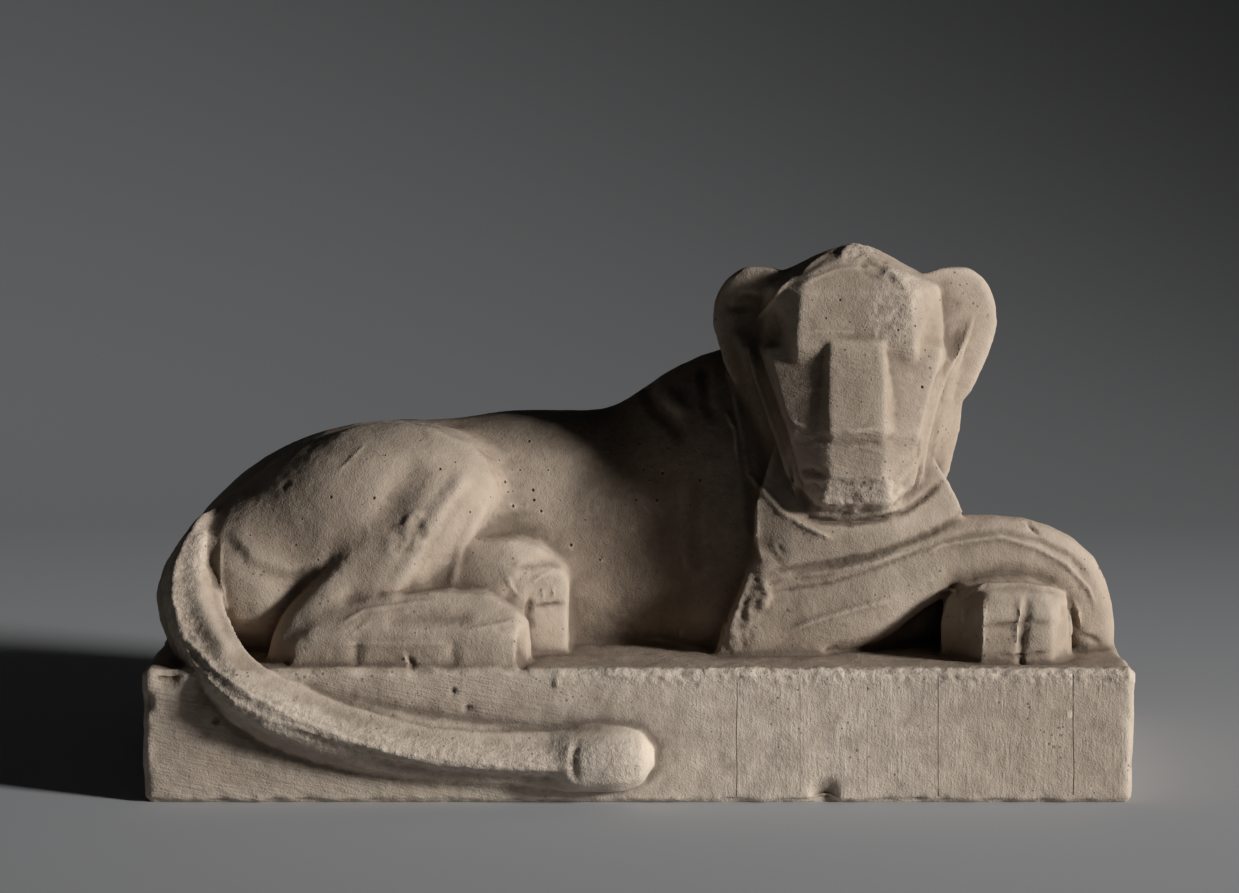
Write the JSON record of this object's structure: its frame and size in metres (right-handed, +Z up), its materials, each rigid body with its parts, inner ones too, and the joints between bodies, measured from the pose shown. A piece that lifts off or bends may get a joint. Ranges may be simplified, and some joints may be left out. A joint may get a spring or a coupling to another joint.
{
  "type": "lion statuette",
  "caption": "Recumbent lion on an oblong plinth, head turned to the front, forelegs crossed, tail laid over the plinth's front face.",
  "frame": {"origin": "centre of the plinth's underside", "axes": "+X along the plinth towards the lion's chest, -Y out of the front that the lion faces, +Z up"},
  "size_m": [0.377, 0.1742, 0.2106],
  "materials": {
    "stone": "matt, rasped and pitted"
  },
  "bodies": {
    "root": {"lion_on_plinth": "stone"}
  },
  "joints": []
}
